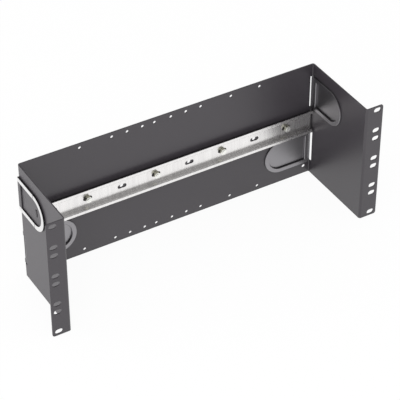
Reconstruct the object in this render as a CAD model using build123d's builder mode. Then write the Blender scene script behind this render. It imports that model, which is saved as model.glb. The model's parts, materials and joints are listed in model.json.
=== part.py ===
"""Rack-mount panel, four units high, that carries a top-hat DIN rail.

A single sheet is folded into a tray that is open at the top, bottom and front: flange, wing,
back, wing, flange. The rail is bolted across the back. Four D-shaped cable ports, two in the
wings and two in the back, run out through the corner bends and are closed by pressed pans.

Frame: the origin is the centre of the rack mounting plane, the rear faces of the flanges.
+X points right, +Y into the rack and +Z up. Lengths are in millimetres.
"""

import os

from build123d import *

# Rack: the pitch is the height of one rack unit
rack_pitch = 44.45
rack_pitch_count = 4
height_clearance = 0.8

# Folded sheet
panel_width = 482.6
flange_width = 24.3
body_depth = 123.0
sheet = 1.5
bend_inner = 1.5
flange_corner = 3.0

# Rack slots: in each flange, one near the top and one near the bottom of every rack unit
rack_slot_from_side = 8.75
rack_slot_inset = 6.35
rack_slot_length = 10.5
rack_slot_width = 7.0

# Small holes in the back: an upper and a lower row, at the same places along X
small_hole_diameter = 4.2
small_hole_from_edge = 6.9
small_hole_places = (-132.0, -86.5, -64.5, -42.5, -25.0, -1.0, 21.0, 43.0, 88.5, 132.0)

# Earth hole in the lower right of the back
earth_hole_diameter = 5.0
earth_hole_from_side = 10.3
earth_hole_from_bottom = 11.6

# Rail
rail_width = 35.0
rail_depth = 7.5
rail_hat_width = 27.0
rail_sheet = 1.0
rail_bend_inner = 0.8
rail_end_gap = 2.0
rail_pitch = 50.0
rail_slot_count = 8
rail_slot_length = 13.0
rail_slot_width = 5.8

# Rail fasteners, in every second slot
bolt_diameter = 5.0
bolt_length = 8.0
bolt_hole_diameter = 5.3
bolt_head_height = 3.5
hex_flats = 8.0
nut_height = 4.7
nut_clearance = 0.05
first_bolt_slot = 1

# Cable ports
port_height = 51.0
port_from_rail = 2.0
wing_port_reach = 70.5
back_port_reach = 74.0
rim_width = 6.25
port_end = 1.5
slit_height = 49.0
wing_slit_depth = 6.5
back_slit_depth = 5.0
port_clearance = 0.25

# Pressed pan of a port, with a raised bar across its corner end and a lip on those in the wings
pan_sheet = 1.0
rim_bevel = 0.4
mouth_bevel = 0.5
wing_bar_start = 6.5
wing_bar_width = 6.0
wing_lip_width = 1.0
back_bar_start = 5.6
back_bar_width = 4.9
end_groove_depth = 1.2

# Outer trim and cover of a port
trim_height = 2.3
trim_groove_width = 0.8
trim_groove_depth = 1.0
trim_groove_offset = 1.2
cover_sheet = 0.7
cover_bar_width = 7.5
cover_bar_edge = 0.5
latch_offset = 4.0
latch_height = 12.0
latch_width = 5.0
latch_ring = 1.6
latch_recess = 0.5
latch_proud = 0.5

# Sizes that follow from the ones above
panel_height = rack_pitch_count * rack_pitch - height_clearance
body_width = panel_width - 2 * flange_width
half_body = body_width / 2
half_panel = panel_width / 2
slot_column_spacing = panel_width - 2 * rack_slot_from_side
slot_row_spacing = rack_pitch - 2 * rack_slot_inset
small_hole_row_spacing = panel_height - 2 * small_hole_from_edge
bend_outer = bend_inner + sheet
back_inner = body_depth - sheet
rail_length = body_width - 2 * sheet - 2 * rail_end_gap
rail_front = back_inner - rail_depth
rail_base_front = back_inner - rail_sheet
port_radius = port_height / 2
port_centre = rail_width / 2 + port_from_rail + port_radius
recess_radius = port_radius - rim_width
neck_radius = recess_radius + pan_sheet
opening_radius = neck_radius + port_clearance
cover_radius = recess_radius - port_clearance
rim_thickness = 2 * pan_sheet
tongue_height = slit_height - 2 * port_clearance
first_slot_x = -rail_pitch * (rail_slot_count - 1) / 2
cut_margin = 1.0

# One plane for each port, on the outer face of its wall: the origin is on the corner line at
# mid height of the port, x runs along the wall away from the corner, z points out of the tray.
port_planes = {
    "upper_left": Plane(
        origin=(-half_body, body_depth, port_centre), x_dir=(0, -1, 0), z_dir=(-1, 0, 0)
    ),
    "upper_right": Plane(
        origin=(half_body, body_depth, port_centre), x_dir=(0, -1, 0), z_dir=(1, 0, 0)
    ),
    "lower_left": Plane(
        origin=(-half_body, body_depth, -port_centre), x_dir=(1, 0, 0), z_dir=(0, 1, 0)
    ),
    "lower_right": Plane(
        origin=(half_body, body_depth, -port_centre), x_dir=(-1, 0, 0), z_dir=(0, 1, 0)
    ),
}


def in_wing(side):
    """The upper ports are in the wings, the lower ones in the back."""
    return side.startswith("upper")


def round_centre(side):
    """Distance from the corner to the centre of the port's round end."""
    reach = wing_port_reach if in_wing(side) else back_port_reach
    return reach - port_radius


def port_shape(side, start, radius, mode=Mode.ADD):
    """Sketch a D: straight sides from start, then a round end of the given radius."""
    centre = round_centre(side)
    with Locations(((start + centre) / 2, 0)):
        Rectangle(centre - start, 2 * radius, mode=mode)
    with Locations((centre, 0)):
        Circle(radius, mode=mode)


def strip(start, end, height, mode=Mode.ADD):
    """Sketch a rectangle from start to end along x, centred across the port."""
    with Locations(((start + end) / 2, 0)):
        Rectangle(end - start, height, mode=mode)


# The folded sheet. Its section is drawn along the faces that look forward and inward.
with BuildPart() as chassis:
    with BuildSketch(Plane.XY.offset(-panel_height / 2)):
        with BuildLine():
            fold = FilletPolyline(
                (-half_panel, -sheet),
                (-half_body + sheet, -sheet),
                (-half_body + sheet, back_inner),
                (half_body - sheet, back_inner),
                (half_body - sheet, -sheet),
                (half_panel, -sheet),
                radius=(bend_outer, bend_inner, bend_inner, bend_outer),
            )
            offset(fold, amount=sheet, side=Side.LEFT)
        make_face()
    extrude(amount=panel_height)

    edges_across = chassis.edges().filter_by(Axis.Y).sort_by(Axis.X)
    fillet(edges_across[:2] + edges_across[-2:], flange_corner)

    with BuildSketch(Plane.XZ):
        with GridLocations(0, rack_pitch, 1, rack_pitch_count):
            with GridLocations(slot_column_spacing, slot_row_spacing, 2, 2):
                SlotOverall(rack_slot_length, rack_slot_width)
    extrude(amount=sheet, mode=Mode.SUBTRACT)

    with BuildSketch(Plane.XZ.offset(-back_inner)):
        for place in small_hole_places:
            with Locations((place, 0)):
                with GridLocations(0, small_hole_row_spacing, 1, 2):
                    Circle(small_hole_diameter / 2)
        with GridLocations(rail_pitch, 0, rail_slot_count, 1):
            Circle(bolt_hole_diameter / 2)
        with Locations((half_body - earth_hole_from_side, earth_hole_from_bottom - panel_height / 2)):
            Circle(earth_hole_diameter / 2)
    extrude(amount=-sheet, mode=Mode.SUBTRACT)

    # Each port opens its own wall, then the bend, then a slit in the next wall.
    for side, plane in port_planes.items():
        slit_depth = back_slit_depth if in_wing(side) else wing_slit_depth
        with BuildSketch(plane):
            port_shape(side, bend_outer, opening_radius)
        extrude(amount=-sheet, mode=Mode.SUBTRACT)
        with BuildSketch(plane.offset(cut_margin)):
            strip(-cut_margin, bend_outer, slit_height)
        extrude(amount=-(cut_margin + slit_depth), mode=Mode.SUBTRACT)

chassis.part.label = "chassis"


# The top-hat rail, drawn in the plane across its length along the faces that look forward.
with BuildPart() as din_rail:
    with BuildSketch(Plane.YZ.offset(-rail_length / 2)):
        with BuildLine():
            hat = FilletPolyline(
                (rail_front, -rail_width / 2),
                (rail_front, -rail_hat_width / 2 + rail_sheet),
                (rail_base_front, -rail_hat_width / 2 + rail_sheet),
                (rail_base_front, rail_hat_width / 2 - rail_sheet),
                (rail_front, rail_hat_width / 2 - rail_sheet),
                (rail_front, rail_width / 2),
                radius=(
                    rail_bend_inner + rail_sheet,
                    rail_bend_inner,
                    rail_bend_inner,
                    rail_bend_inner + rail_sheet,
                ),
            )
            offset(hat, amount=rail_sheet, side=Side.RIGHT)
        make_face()
    extrude(amount=rail_length)

    with BuildSketch(Plane.XZ.offset(-rail_base_front)):
        with GridLocations(rail_pitch, 0, rail_slot_count, 1):
            SlotOverall(rail_slot_length, rail_slot_width)
    extrude(amount=-rail_sheet, mode=Mode.SUBTRACT)

din_rail.part.label = "din_rail"


# The fasteners: each bolt comes through the back and the rail from behind, into its nut.
rail_bolts = []
rail_nuts = []
for slot in range(first_bolt_slot, rail_slot_count, 2):
    bolt_x = first_slot_x + slot * rail_pitch
    head_plane = Plane(origin=(bolt_x, body_depth, 0), x_dir=(1, 0, 0), z_dir=(0, 1, 0))
    nut_plane = Plane(origin=(bolt_x, rail_base_front, 0), x_dir=(1, 0, 0), z_dir=(0, -1, 0))

    with BuildPart() as rail_bolt:
        with BuildSketch(head_plane):
            RegularPolygon(hex_flats / 2, 6, major_radius=False)
        extrude(amount=bolt_head_height)
        with BuildSketch(head_plane):
            Circle(bolt_diameter / 2)
        extrude(amount=-bolt_length)
    rail_bolts.append(rail_bolt)

    with BuildPart() as rail_nut:
        with BuildSketch(nut_plane):
            RegularPolygon(hex_flats / 2, 6, major_radius=False)
            Circle(bolt_diameter / 2 + nut_clearance, mode=Mode.SUBTRACT)
        extrude(amount=nut_height)
    rail_nuts.append(rail_nut)

for number, (rail_bolt, rail_nut) in enumerate(zip(rail_bolts, rail_nuts), start=1):
    rail_bolt.part.label = f"rail_bolt_{number}"
    rail_nut.part.label = f"rail_nut_{number}"


# The ports. From inside out: the pan, which seats on the inner face of the wall and is pressed
# out through the opening, the cover on the outside of the pan's floor, and the trim round it.
port_pieces = []
for side, plane in port_planes.items():
    centre = round_centre(side)
    outward = Axis(plane.origin, plane.z_dir)
    bar_start = wing_bar_start if in_wing(side) else back_bar_start
    bar_width = wing_bar_width if in_wing(side) else back_bar_width
    recess_start = bar_start + bar_width

    with BuildPart() as port_pan:
        with BuildSketch(plane.offset(-sheet)):
            port_shape(side, bar_start, port_radius)
        extrude(amount=-rim_thickness)
        chamfer(port_pan.faces().sort_by(outward)[0].edges(), rim_bevel)
        with BuildSketch(plane):
            port_shape(side, recess_start - pan_sheet, neck_radius)
        extrude(amount=-sheet)
        with BuildSketch(plane.offset(-sheet - rim_thickness)):
            port_shape(side, recess_start, recess_radius)
        extrude(amount=sheet + rim_thickness - pan_sheet, mode=Mode.SUBTRACT)
        mouth = port_pan.faces().sort_by(outward)[0].inner_wires()[0]
        chamfer(mouth.edges(), mouth_bevel)
        with BuildSketch(plane.offset(-sheet)):
            strip(port_end, bar_start, tongue_height)
        extrude(amount=-(rim_thickness - end_groove_depth))
        if in_wing(side):
            with BuildSketch(plane.offset(-sheet)):
                strip(port_end, port_end + wing_lip_width, tongue_height)
            extrude(amount=-rim_thickness)
    port_pan.part.label = f"port_pan_{side}"

    with BuildPart() as port_trim:
        with BuildSketch(plane):
            port_shape(side, port_end, port_radius)
            port_shape(side, -cut_margin, recess_radius, mode=Mode.SUBTRACT)
        extrude(amount=trim_height)
        with BuildSketch(plane.offset(trim_height)):
            with Locations((centre - trim_groove_offset, 0)):
                Rectangle(trim_groove_width, port_height + 2 * cut_margin)
        extrude(amount=-trim_groove_depth, mode=Mode.SUBTRACT)
    port_trim.part.label = f"port_trim_{side}"

    with BuildPart() as port_cover:
        with BuildSketch(plane):
            port_shape(side, port_end, cover_radius)
        extrude(amount=cover_sheet)
        with BuildSketch(plane.offset(cover_sheet)):
            with Locations((centre + latch_offset, 0)):
                SlotOverall(latch_height, latch_width, rotation=90)
        extrude(amount=-latch_recess, mode=Mode.SUBTRACT)
        with BuildSketch(plane.offset(cover_sheet - latch_recess)):
            with Locations((centre + latch_offset, 0)):
                Rectangle(latch_width - 2 * latch_ring, latch_height - 2 * latch_ring)
        extrude(amount=latch_recess + latch_proud)
        if in_wing(side):
            with BuildSketch(plane):
                strip(port_end, port_end + cover_bar_width, 2 * cover_radius)
            extrude(amount=trim_height)
            chamfer(port_cover.faces().sort_by(outward)[-1].edges(), cover_bar_edge)
    port_cover.part.label = f"port_cover_{side}"

    port_pieces += [port_pan, port_trim, port_cover]


os.makedirs("parts", exist_ok=True)
for piece in [chassis, din_rail, *rail_bolts, *rail_nuts, *port_pieces]:
    export_step(piece.part, f"parts/{piece.part.label}.step")
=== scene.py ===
"""Looks of the rack-mount rail panel: finishes, studio light and camera.

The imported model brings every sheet, rail, bolt, nut, pan, trim and cover at its place,
and this script gives each one its finish.
Lengths are in metres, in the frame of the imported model: +X right, +Y into the rack, +Z up.
"""

import json

import bpy
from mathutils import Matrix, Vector


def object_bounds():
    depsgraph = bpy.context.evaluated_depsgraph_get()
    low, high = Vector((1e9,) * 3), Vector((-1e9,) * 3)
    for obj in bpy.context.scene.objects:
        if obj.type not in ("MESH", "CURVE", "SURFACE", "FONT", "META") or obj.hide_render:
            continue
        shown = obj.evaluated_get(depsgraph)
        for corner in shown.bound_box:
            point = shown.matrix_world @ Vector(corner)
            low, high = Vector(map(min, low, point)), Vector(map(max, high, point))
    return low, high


MM = 0.001

# Camera, from the photograph's perspective
CAMERA_PLACE = (-0.9111, -1.4873, 1.4015)
CAMERA_LOOK = (0.40043, 0.67607, -0.61854)
CAMERA_LENS = 160.5
CAMERA_SENSOR = 36.0
CAMERA_FAR = 50.0

# Studio: the floor's glow is what the camera and reflections see of it, and the sky has its
# own strength for the camera, for reflections and for the light on matt surfaces
FLOOR_HALF_WIDTH = 6.0
FLOOR_GAP = 0.05 * MM
FLOOR_COLOR = (0.8, 0.8, 0.8, 1.0)
FLOOR_GLOW = 1.02
FLOOR_GLOW_SHARE = 0.92
SKY_COLOR = (1.0, 1.0, 1.0, 1.0)
SKY_FOR_CAMERA = 1.0
SKY_FOR_GLOSS = 0.33
SKY_FOR_DIFFUSE = 0.75
KEY_PLACE = (-1.0, -1.6, 1.7)
KEY_SIZE = 1.6
KEY_POWER = 22.0
SIDE_PLACE = (-1.9, 0.9, 0.1)
SIDE_SIZE = 0.7
SIDE_POWER = 17.0

# Ranges of shader values: where nearly all noise lies, how far a rounded normal agrees with
# the face's own from a full edge to none, the noise that breaks the wear up and what it
# leaves of it, the open share of the view from full painted crevice shade to none, and the
# cosine from a face that looks elsewhere to one that looks in the asked direction
NOISE_SPAN = (0.3, 0.7)
EDGE_SPAN = (0.80, 0.98)
WEAR_NOISE_SPAN = (0.35, 0.65)
WEAR_KEPT = (0.15, 1.0)
OPEN_VIEW_SPAN = (0.3, 0.9)
FACING_SPAN = (0.6, 0.8)
RISING = (0.0, 1.0)
FALLING = (1.0, 0.0)

# Noise: how many finer layers each one has, and how much finer the fine marks are
GRAIN_DETAIL = 2.0
PATCH_DETAIL = 3.0
STREAK_DETAIL = 3.0
FINE_DETAIL = 1.0
WEAR_DETAIL = 2.0
STREAK_SCALE = 1.0
FINE_SCALE = 4.0

# Rays of the shader nodes that look around
EDGE_SAMPLES = 4
CREVICE_SAMPLES = 6

# Dark grey powder coat of the folded sheet and the covers
PAINT_IOR = 1.62
PAINT_DARK = (0.042, 0.037, 0.044)
PAINT_LIGHT = (0.055, 0.048, 0.057)
PAINT_RUBBED = (0.082, 0.077, 0.083)
# Painted shade: the near black that the coat takes where other faces close the view
PAINT_CREVICE_SHADE = (0.011, 0.010, 0.011)
PAINT_GRAIN = 1100.0
PAINT_PATCHES = 12.0
PAINT_EDGE = 0.25 * MM
PAINT_WEAR = 180.0
PAINT_REACH = 4.0 * MM
PAINT_ROUGHNESS = (0.35, 0.39)
PAINT_RELIEF = 0.004 * MM

# Bright zinc of the rail, with marks across the strip
RAIL_DARK = (0.865, 0.85, 0.845)
RAIL_LIGHT = (0.985, 0.97, 0.96)
# Painted shade in the rail's crevices
RAIL_CREVICE_SHADE = (0.30, 0.29, 0.28)
RAIL_MARKS_ALONG = 330.0
RAIL_MARKS_ACROSS = 3.0
RAIL_REACH = 1.5 * MM
RAIL_ROUGHNESS = (0.25, 0.30)
RAIL_RELIEF = 0.003 * MM

# Zinc of the fasteners: pale bolts, nuts with an olive tint, and a paler zinc, a little less
# metallic, that is a painted highlight on the faces towards the front and the colour of rubbed
# edges
BOLT_ZINC = (0.86, 0.87, 0.81)
BOLT_ZINC_HIGH = (0.96, 0.97, 0.91)
NUT_ZINC = (0.56, 0.56, 0.45)
NUT_ZINC_HIGH = (0.74, 0.74, 0.62)
FRONT_HIGHLIGHT_AND_RUBBED_ZINC = (0.98, 0.98, 0.94)
FRONT_HIGHLIGHT_METALLIC = (1.0, 0.7)
FASTENER_GRAIN = 2500.0
FASTENER_PATCHES = 300.0
FASTENER_EDGE = 0.2 * MM
FASTENER_WEAR = 500.0
FASTENER_ROUGHNESS = (0.2, 0.3)
FASTENER_RELIEF = 0.002 * MM
TOWARDS_FRONT = (0.0, -1.0, 0.0)
NUT_NUMBERS = (1, 2, 3, 4)

# Dull grey steel of the pressed pans
PAN_DARK = (0.305, 0.297, 0.312)
PAN_LIGHT = (0.375, 0.366, 0.382)
PAN_RUBBED = (0.48, 0.47, 0.48)
# Painted shade in the pans' narrow places
PAN_CREVICE_SHADE = (0.14, 0.135, 0.14)
PAN_GRAIN = 1400.0
PAN_PATCHES = 30.0
PAN_EDGE = 0.3 * MM
PAN_WEAR = 300.0
PAN_REACH = 0.8 * MM
PAN_ROUGHNESS = (0.36, 0.44)
PAN_RELIEF = 0.003 * MM

# Port trims: bright metal on the outward face, near black on the others as a painted shade of the
# side walls, brushed upright
TRIM_DARK = (0.80, 0.795, 0.795)
TRIM_LIGHT = (0.92, 0.915, 0.915)
TRIM_SIDE_SHADE = (0.014, 0.013, 0.014)
TRIM_MARKS_LEVEL = 60.0
TRIM_MARKS_UPRIGHT = 900.0
TRIM_ROUGHNESS = (0.2, 0.3)
TRIM_RELIEF = 0.001 * MM

# Outward directions of the four ports: the upper two open through the wings, the lower two
# through the back
PORT_OUTWARD = {
    "upper_left": (-1.0, 0.0, 0.0),
    "upper_right": (1.0, 0.0, 0.0),
    "lower_left": (0.0, 1.0, 0.0),
    "lower_right": (0.0, 1.0, 0.0),
}


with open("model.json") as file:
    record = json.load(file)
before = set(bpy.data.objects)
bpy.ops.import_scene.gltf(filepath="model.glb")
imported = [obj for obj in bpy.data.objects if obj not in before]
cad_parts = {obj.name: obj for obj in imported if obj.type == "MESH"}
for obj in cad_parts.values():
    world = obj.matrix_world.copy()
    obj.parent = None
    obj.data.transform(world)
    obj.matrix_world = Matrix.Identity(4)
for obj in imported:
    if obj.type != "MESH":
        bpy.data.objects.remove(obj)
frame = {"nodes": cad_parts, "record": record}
cad_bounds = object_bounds()
nodes = frame["nodes"]


# Shader nodes


def add_node(tree, kind, links=None, **values):
    """A node of the kind, with attributes set by name and inputs linked by socket name."""
    node = tree.nodes.new(kind)
    for key, value in values.items():
        setattr(node, key, value)
    for label, source in (links or {}).items():
        tree.links.new(source, node.inputs[label])
    return node


def object_place(tree):
    """The place on the object, in metres."""
    return add_node(tree, "ShaderNodeTexCoord").outputs["Object"]


def noise(tree, place, detail, scale):
    """Noise at the place, with a scale that is a number or a link."""
    node = add_node(tree, "ShaderNodeTexNoise", {"Vector": place})
    node.inputs["Detail"].default_value = detail
    if isinstance(scale, bpy.types.NodeSocket):
        tree.links.new(scale, node.inputs["Scale"])
    else:
        node.inputs["Scale"].default_value = scale
    return node.outputs["Fac"]


def times(tree, source, factor):
    """The source value times a constant factor."""
    node = add_node(tree, "ShaderNodeMath", {0: source}, operation="MULTIPLY")
    node.inputs[1].default_value = factor
    return node.outputs[0]


def agreement(tree, first):
    """A dot product with the first vector linked."""
    return add_node(tree, "ShaderNodeVectorMath", {0: first}, operation="DOT_PRODUCT")


def spread(tree, source, target, span=NOISE_SPAN):
    """A value that runs over the target range as the source runs over its span."""
    node = add_node(tree, "ShaderNodeMapRange", {"Value": source})
    node.inputs["From Min"].default_value, node.inputs["From Max"].default_value = span
    node.inputs["To Min"].default_value, node.inputs["To Max"].default_value = target
    return node.outputs["Result"]


def pick(sockets, identifier):
    """The socket with the identifier, for a Mix node, which repeats its labels."""
    return next(socket for socket in sockets if socket.identifier == identifier)


def mix(tree, kind, factor, first, second):
    """A Float or Color between two constants or links, by the factor."""
    node = add_node(tree, "ShaderNodeMix", data_type="RGBA" if kind == "Color" else "FLOAT")
    tree.links.new(factor, pick(node.inputs, "Factor_Float"))
    for label, value in (("A", first), ("B", second)):
        socket = pick(node.inputs, f"{label}_{kind}")
        if isinstance(value, bpy.types.NodeSocket):
            tree.links.new(value, socket)
        else:
            socket.default_value = value
    return pick(node.outputs, f"Result_{kind}")


def blend_colors(tree, factor, first, second):
    """A colour between two, each three numbers or a link, by the factor."""
    ends = [(*color, 1.0) if isinstance(color, tuple) else color for color in (first, second)]
    return mix(tree, "Color", factor, *ends)


# Shader groups


def new_group(name, inputs, outputs):
    """A node group with float inputs and outputs of the given names, and its two ends."""
    group = bpy.data.node_groups.new(name, "ShaderNodeTree")
    for label in inputs:
        group.interface.new_socket(label, in_out="INPUT", socket_type="NodeSocketFloat")
    for label in outputs:
        group.interface.new_socket(label, in_out="OUTPUT", socket_type="NodeSocketFloat")
    enter = group.nodes.new("NodeGroupInput").outputs
    leave = group.nodes.new("NodeGroupOutput").inputs
    return group, enter, leave


def grain_group():
    """Fine grain of a coat: two sizes of noise give a shade from 0 to 1 and a height."""
    group, enter, leave = new_group("coat_grain", ["Grain per metre", "Patch per metre"],
                                    ["Shade", "Height"])
    place = object_place(group)
    grain = noise(group, place, GRAIN_DETAIL, enter["Grain per metre"])
    patch = noise(group, place, PATCH_DETAIL, enter["Patch per metre"])
    both = add_node(group, "ShaderNodeMath", {0: grain, 1: patch}, operation="ADD")
    group.links.new(times(group, both.outputs[0], 0.5), leave["Shade"])
    group.links.new(grain, leave["Height"])
    return group


def streak_group():
    """Rolling marks: noise that is stretched by its own number of waves along X, Y and Z."""
    group, enter, leave = new_group("rolling_marks", ["Along X", "Along Y", "Along Z"],
                                    ["Streak", "Fine"])
    waves = add_node(group, "ShaderNodeCombineXYZ",
                     {"X": enter["Along X"], "Y": enter["Along Y"], "Z": enter["Along Z"]})
    stretched = add_node(group, "ShaderNodeVectorMath",
                         {0: object_place(group), 1: waves.outputs[0]},
                         operation="MULTIPLY").outputs[0]
    group.links.new(noise(group, stretched, STREAK_DETAIL, STREAK_SCALE), leave["Streak"])
    group.links.new(noise(group, stretched, FINE_DETAIL, FINE_SCALE), leave["Fine"])
    return group


def edge_group():
    """Worn edges: how far a rounded normal leaves the face's own, broken up by noise."""
    group, enter, leave = new_group("worn_edges", ["Edge width", "Patch per metre"], ["Wear"])
    face = add_node(group, "ShaderNodeNewGeometry")
    rounded = add_node(group, "ShaderNodeBevel", {"Radius": enter["Edge width"]},
                       samples=EDGE_SAMPLES)
    along = agreement(group, face.outputs["Normal"])
    group.links.new(rounded.outputs["Normal"], along.inputs[1])
    edge = spread(group, along.outputs["Value"], FALLING, EDGE_SPAN)
    patch = noise(group, object_place(group), WEAR_DETAIL, enter["Patch per metre"])
    kept = spread(group, patch, WEAR_KEPT, WEAR_NOISE_SPAN)
    wear = add_node(group, "ShaderNodeMath", {0: edge, 1: kept}, operation="MULTIPLY")
    group.links.new(wear.outputs[0], leave["Wear"])
    return group


def crevice_shade_group():
    """Painted shade in narrow places: 1 where other faces close the view within the reach, else 0.
    """
    group, enter, leave = new_group("painted_crevice_shade", ["Reach"], ["Dirt"])
    around = add_node(group, "ShaderNodeAmbientOcclusion", {"Distance": enter["Reach"]},
                      samples=CREVICE_SAMPLES)
    group.links.new(spread(group, around.outputs["AO"], FALLING, OPEN_VIEW_SPAN), leave["Dirt"])
    return group


COAT_GRAIN = grain_group()
ROLLING_MARKS = streak_group()
WORN_EDGES = edge_group()
CREVICE_SHADE = crevice_shade_group()


# Finishes


def place_group(tree, group, **values):
    """The group's outputs in a material, with its inputs set to this material's own values."""
    node = tree.nodes.new("ShaderNodeGroup")
    node.node_tree = group
    for label, value in values.items():
        node.inputs[label.replace("_", " ")].default_value = value
    return node.outputs


def facing_share(tree, outward):
    """1 on the faces that look in the given direction, 0 on the others."""
    facing = agreement(tree, add_node(tree, "ShaderNodeTexCoord").outputs["Normal"])
    facing.inputs[1].default_value = outward
    return spread(tree, facing.outputs["Value"], RISING, FACING_SPAN)


def new_finish(name, metallic):
    """A material with one Principled shader: the material, its node tree and the shader."""
    material = bpy.data.materials.new(name)
    material.use_nodes = True
    shader = material.node_tree.nodes["Principled BSDF"]
    shader.inputs["Metallic"].default_value = metallic
    return material, material.node_tree, shader


def give_surface(tree, shader, color, roughness, height, relief):
    """Link colour and roughness, and raise the surface by the height, relief at its full range."""
    raised = add_node(tree, "ShaderNodeBump", {"Height": height})
    raised.inputs["Distance"].default_value = relief
    tree.links.new(color, shader.inputs["Base Color"])
    tree.links.new(roughness, shader.inputs["Roughness"])
    tree.links.new(raised.outputs["Normal"], shader.inputs["Normal"])


def paint_finish():
    """Semi-gloss dark grey powder coat: fine grain, rubbed edges and painted shade in narrow
    places.
    """
    material, tree, shader = new_finish("dark_powder_coat", 0.0)
    shader.inputs["IOR"].default_value = PAINT_IOR
    grain = place_group(tree, COAT_GRAIN, Grain_per_metre=PAINT_GRAIN,
                        Patch_per_metre=PAINT_PATCHES)
    edges = place_group(tree, WORN_EDGES, Edge_width=PAINT_EDGE, Patch_per_metre=PAINT_WEAR)
    shaded_crevices = place_group(tree, CREVICE_SHADE, Reach=PAINT_REACH)
    coat = blend_colors(tree, grain["Shade"], PAINT_DARK, PAINT_LIGHT)
    rubbed = blend_colors(tree, edges["Wear"], coat, PAINT_RUBBED)
    # Painted shade: the coat goes near black where other faces close the view
    color = blend_colors(tree, shaded_crevices["Dirt"], rubbed, PAINT_CREVICE_SHADE)
    roughness = spread(tree, grain["Shade"], PAINT_ROUGHNESS)
    give_surface(tree, shader, color, roughness, grain["Height"], PAINT_RELIEF)
    return material


def zinc_finish():
    """Bright zinc plate with fine marks across the strip, and painted shade in its crevices."""
    material, tree, shader = new_finish("bright_zinc", 1.0)
    marks = place_group(tree, ROLLING_MARKS, Along_X=RAIL_MARKS_ALONG,
                        Along_Y=RAIL_MARKS_ACROSS, Along_Z=RAIL_MARKS_ACROSS)
    shaded_crevices = place_group(tree, CREVICE_SHADE, Reach=RAIL_REACH)
    plate = blend_colors(tree, spread(tree, marks["Streak"], RISING), RAIL_DARK, RAIL_LIGHT)
    # Painted shade: the zinc darkens where other faces close the view
    color = blend_colors(tree, shaded_crevices["Dirt"], plate, RAIL_CREVICE_SHADE)
    roughness = spread(tree, marks["Fine"], RAIL_ROUGHNESS)
    give_surface(tree, shader, color, roughness, marks["Streak"], RAIL_RELIEF)
    return material


def fastener_finish(name, low, high):
    """Zinc plate of the bolts or nuts in two shades, with a painted highlight that makes the faces
    towards the front paler, and paler rubbed edges.
    """
    material, tree, shader = new_finish(name, 1.0)
    grain = place_group(tree, COAT_GRAIN, Grain_per_metre=FASTENER_GRAIN,
                        Patch_per_metre=FASTENER_PATCHES)
    edges = place_group(tree, WORN_EDGES, Edge_width=FASTENER_EDGE,
                        Patch_per_metre=FASTENER_WEAR)
    front = facing_share(tree, TOWARDS_FRONT)
    plate = blend_colors(tree, grain["Shade"], low, high)
    # Painted highlight: the faces towards the front are made paler and less metallic
    front_highlight = blend_colors(tree, front, plate, FRONT_HIGHLIGHT_AND_RUBBED_ZINC)
    color = blend_colors(tree, edges["Wear"], front_highlight, FRONT_HIGHLIGHT_AND_RUBBED_ZINC)
    tree.links.new(spread(tree, front, FRONT_HIGHLIGHT_METALLIC, RISING), shader.inputs["Metallic"])
    roughness = spread(tree, grain["Shade"], FASTENER_ROUGHNESS)
    give_surface(tree, shader, color, roughness, grain["Height"], FASTENER_RELIEF)
    return material


def pan_finish():
    """Dull grey steel of the pressed pans, a little brighter where its edges are rubbed, with
    painted shade in its narrow places.
    """
    material, tree, shader = new_finish("dull_pressed_steel", 1.0)
    grain = place_group(tree, COAT_GRAIN, Grain_per_metre=PAN_GRAIN, Patch_per_metre=PAN_PATCHES)
    edges = place_group(tree, WORN_EDGES, Edge_width=PAN_EDGE, Patch_per_metre=PAN_WEAR)
    shaded_crevices = place_group(tree, CREVICE_SHADE, Reach=PAN_REACH)
    steel = blend_colors(tree, grain["Shade"], PAN_DARK, PAN_LIGHT)
    rubbed = blend_colors(tree, edges["Wear"], steel, PAN_RUBBED)
    # Painted shade: the steel darkens where other faces close the view
    color = blend_colors(tree, shaded_crevices["Dirt"], rubbed, PAN_CREVICE_SHADE)
    roughness = spread(tree, grain["Shade"], PAN_ROUGHNESS)
    give_surface(tree, shader, color, roughness, grain["Height"], PAN_RELIEF)
    return material


def trim_finish(side, outward):
    """Port trim: bright brushed metal on the face that looks outward, with painted shade in near
    black on the faces that look elsewhere.
    """
    material, tree, shader = new_finish(f"bright_edge_{side}", 1.0)
    marks = place_group(tree, ROLLING_MARKS, Along_X=TRIM_MARKS_LEVEL,
                        Along_Y=TRIM_MARKS_LEVEL, Along_Z=TRIM_MARKS_UPRIGHT)
    bright = facing_share(tree, outward)
    metal = blend_colors(tree, marks["Streak"], TRIM_DARK, TRIM_LIGHT)
    # Painted shade: the faces that do not look outward are made near black, the shade of the
    # ring's side walls
    color = blend_colors(tree, bright, TRIM_SIDE_SHADE, metal)
    tree.links.new(bright, shader.inputs["Metallic"])
    roughness = spread(tree, marks["Fine"], TRIM_ROUGHNESS)
    give_surface(tree, shader, color, roughness, marks["Fine"], TRIM_RELIEF)
    return material


FINISHES = {
    "sheet_paint": paint_finish(),
    "rail_zinc": zinc_finish(),
    "fastener_zinc": fastener_finish("bolt_zinc", BOLT_ZINC, BOLT_ZINC_HIGH),
    "pan_steel": pan_finish(),
}
NUT_FINISH = fastener_finish("nut_zinc", NUT_ZINC, NUT_ZINC_HIGH)
OWN_FINISHES = {f"port_trim_{side}": trim_finish(side, outward)
                for side, outward in PORT_OUTWARD.items()}
OWN_FINISHES.update({f"rail_nut_{number}": NUT_FINISH for number in NUT_NUMBERS})

for part in frame["record"]["subparts"]:
    mesh = nodes[part["node"]].data
    mesh.materials.clear()
    mesh.materials.append(OWN_FINISHES.get(part["node"]) or FINISHES[part["material_slot"]])


# Studio


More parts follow.
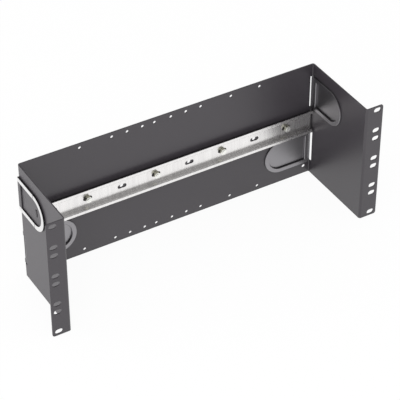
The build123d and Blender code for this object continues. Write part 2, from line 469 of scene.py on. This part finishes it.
def floor_finish():
    """White floor: it glows for the camera and for reflections, and keeps a soft shadow."""
    material = bpy.data.materials.new("studio_floor")
    material.use_nodes = True
    tree = material.node_tree
    tree.nodes.clear()
    path = add_node(tree, "ShaderNodeLightPath").outputs
    seen = add_node(tree, "ShaderNodeMath",
                    {0: path["Is Camera Ray"], 1: path["Is Glossy Ray"]}, operation="MAXIMUM")
    share = times(tree, seen.outputs[0], FLOOR_GLOW_SHARE)
    diffuse = add_node(tree, "ShaderNodeBsdfDiffuse")
    diffuse.inputs["Color"].default_value = FLOOR_COLOR
    emission = add_node(tree, "ShaderNodeEmission")
    emission.inputs["Strength"].default_value = FLOOR_GLOW
    both = add_node(tree, "ShaderNodeMixShader",
                    {0: share, 1: diffuse.outputs[0], 2: emission.outputs[0]})
    add_node(tree, "ShaderNodeOutputMaterial", {"Surface": both.outputs[0]})
    return material


def make_floor():
    """A square floor just below the lowest edge of the panel."""
    low = cad_bounds[0][2] - FLOOR_GAP
    half = FLOOR_HALF_WIDTH
    mesh = bpy.data.meshes.new("floor")
    corners = [(-half, -half, low), (half, -half, low), (half, half, low), (-half, half, low)]
    mesh.from_pydata(corners, [], [(0, 1, 2, 3)])
    mesh.materials.append(floor_finish())
    floor = bpy.data.objects.new("floor", mesh)
    bpy.context.scene.collection.objects.link(floor)


def make_sky():
    """World: white for the camera, a dim sky in reflections and an even light on the rest."""
    world = bpy.data.worlds.new("studio_sky")
    bpy.context.scene.world = world
    world.use_nodes = True
    tree = world.node_tree
    background = tree.nodes["Background"]
    background.inputs["Color"].default_value = SKY_COLOR
    path = add_node(tree, "ShaderNodeLightPath").outputs
    unseen = mix(tree, "Float", path["Is Glossy Ray"], SKY_FOR_DIFFUSE, SKY_FOR_GLOSS)
    strength = mix(tree, "Float", path["Is Camera Ray"], unseen, SKY_FOR_CAMERA)
    tree.links.new(strength, background.inputs["Strength"])


def aim(obj, direction):
    """Turn a camera or lamp so that it looks along the direction, with its top up."""
    obj.rotation_euler = Vector(direction).to_track_quat("-Z", "Y").to_euler()


def make_lamp(name, place, size, power):
    """A large soft lamp at the place, aimed at the middle of the panel and kept out of sight."""
    lamp = bpy.data.lights.new(name, "AREA")
    lamp.shape = "SQUARE"
    lamp.size = size
    lamp.energy = power
    softbox = bpy.data.objects.new(name, lamp)
    softbox.location = place
    softbox.visible_glossy = False
    softbox.visible_camera = False
    aim(softbox, -Vector(place))
    bpy.context.scene.collection.objects.link(softbox)


def make_camera():
    """The camera stands where the photograph was taken from."""
    lens = bpy.data.cameras.new("camera")
    lens.lens = CAMERA_LENS
    lens.sensor_width = CAMERA_SENSOR
    lens.clip_end = CAMERA_FAR
    camera = bpy.data.objects.new("camera", lens)
    camera.location = CAMERA_PLACE
    aim(camera, CAMERA_LOOK)
    bpy.context.scene.collection.objects.link(camera)
    bpy.context.scene.camera = camera


make_floor()
make_sky()
make_lamp("key_softbox", KEY_PLACE, KEY_SIZE, KEY_POWER)
make_lamp("side_softbox", SIDE_PLACE, SIDE_SIZE, SIDE_POWER)
make_camera()
bpy.context.scene.view_settings.view_transform = "Standard"
